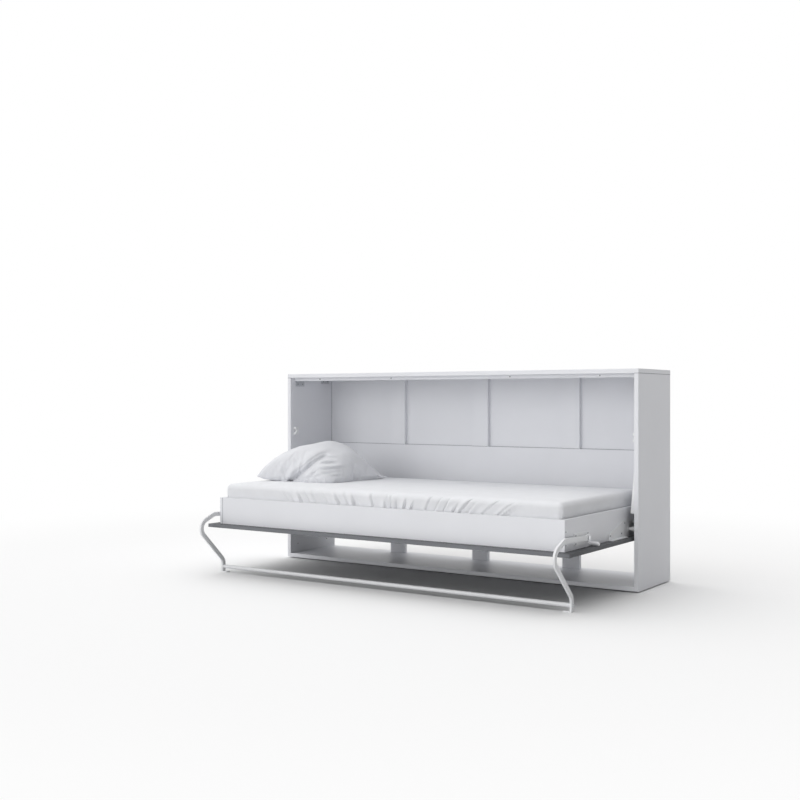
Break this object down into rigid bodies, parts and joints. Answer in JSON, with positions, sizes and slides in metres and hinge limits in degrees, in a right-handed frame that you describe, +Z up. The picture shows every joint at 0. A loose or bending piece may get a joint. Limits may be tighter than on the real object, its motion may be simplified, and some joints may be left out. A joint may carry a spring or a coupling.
{
  "type": "wall bed",
  "caption": "Horizontal single wall bed in a low white cabinet: the bed box turns out on a dark door panel and stands on a folding leg frame, with gas springs at both ends.",
  "frame": {"origin": "on the floor, under the middle of the open bed's overall length and depth", "axes": "+X along the bed to the viewer's right, +Y from the bed's front towards the wall, +Z up"},
  "size_m": [2.19, 1.2224, 1.085],
  "materials": {
    "white_board": "matt white laminate",
    "dark_board": "matt dark grey laminate",
    "beech": "laminated beech",
    "white_metal": "white powder coat",
    "black_metal": "black powder coat",
    "steel": "zinc plated",
    "white_plastic": "satin",
    "black_plastic": "satin",
    "sheet_fabric": "white cotton",
    "pillow_fabric": "white cotton"
  },
  "bodies": {
    "cabinet": {"top_panel": "white_board", "bottom_panel": "white_board", "side_panel_left": "white_board", "side_panel_right": "white_board", "floor_glides": "black_plastic", "top_rail": "white_board", "top_rail_screws": "steel", "upper_post_1": "white_board", "upper_post_2": "white_board", "upper_post_3": "white_board", "lower_post_1": "white_board", "lower_post_2": "white_board", "lower_post_3": "white_board", "lower_back_board": "white_board", "back_sheet_1": "white_board", "back_sheet_2": "white_board", "back_sheet_3": "white_board", "back_sheet_4": "white_board", "wall_rail": "white_board", "corner_brackets": "steel", "side_caps": "white_plastic", "cabinet_hinge_plate_left": "black_metal", "cabinet_hinge_plate_right": "black_metal", "cabinet_hinge_screws": "steel", "pivot_axle_left": "white_metal", "pivot_axle_right": "white_metal", "latch_catch_left": "white_plastic", "latch_catch_right": "white_plastic", "spring_cover_left": "white_plastic", "spring_cover_right": "white_plastic", "spring_anchor_studs": "steel"},
    "bed": {"door_panel": "dark_board", "front_panel": "white_board", "rear_panel": "white_board", "end_panel_left": "white_board", "end_panel_right": "white_board", "bed_hinge_plate_left": "white_metal", "bed_hinge_plate_right": "white_metal", "pivot_bushes": "white_plastic", "leg_bracket_left": "white_metal", "leg_bracket_right": "white_metal", "leg_pivot_bolts": "steel", "bed_screws": "steel", "latch_pegs": "white_metal", "spring_crank_studs": "steel", "batten_front": "beech", "batten_rear": "beech", "slats": "beech", "slat_caps": "black_plastic", "mattress": "sheet_fabric", "pillow": "pillow_fabric"},
    "leg_frame": {"leg_left": "white_metal", "leg_right": "white_metal", "leg_bar": "white_metal", "bar_bolts": "steel", "leg_shoes": "white_plastic"},
    "spring_cylinder_left": {"gas_spring_cylinder_left": "black_metal"},
    "spring_cylinder_right": {"gas_spring_cylinder_right": "black_metal"},
    "spring_rod_left": {"gas_spring_rod_left": "steel"},
    "spring_rod_right": {"gas_spring_rod_right": "steel"}
  },
  "joints": [
    {"name": "bed_fold", "type": "hinge", "parent": "cabinet", "child": "bed", "pos_m": [0, 0.23623, 0.302], "axis": [-1, 0, 0], "range_deg": [0, 90], "deforming": ["pillow"]},
    {"name": "leg_fold", "type": "hinge", "parent": "bed", "child": "leg_frame", "pos_m": [0, -0.26177, 0.311], "axis": [-1, 0, 0], "range_deg": [0, 184]},
    {"name": "gas_spring_swing_left", "type": "hinge", "parent": "cabinet", "child": "spring_cylinder_left", "pos_m": [-1.0595, 0.27823, 0.56], "axis": [-1, 0, 0], "range_deg": [0, 4.73]},
    {"name": "gas_spring_stroke_left", "type": "slide", "parent": "spring_cylinder_left", "child": "spring_rod_left", "axis": [0, 0.0438, -0.999], "range_m": [0, 0.08205]},
    {"name": "gas_spring_swing_right", "type": "hinge", "parent": "cabinet", "child": "spring_cylinder_right", "pos_m": [1.0595, 0.27823, 0.56], "axis": [-1, 0, 0], "range_deg": [0, 4.73]},
    {"name": "gas_spring_stroke_right", "type": "slide", "parent": "spring_cylinder_right", "child": "spring_rod_right", "axis": [0, 0.0438, -0.999], "range_m": [0, 0.08205]}
  ],
  "couplings": [
    {"joint": "leg_fold", "follows": "bed_fold", "ratio": 2.0444},
    {"joint": "gas_spring_swing_left", "follows": "bed_fold", "ratio": 0.052536},
    {"joint": "gas_spring_stroke_left", "follows": "bed_fold", "m_per_rad": 0.052211},
    {"joint": "gas_spring_swing_right", "follows": "bed_fold", "ratio": 0.052536},
    {"joint": "gas_spring_stroke_right", "follows": "bed_fold", "m_per_rad": 0.052211}
  ]
}
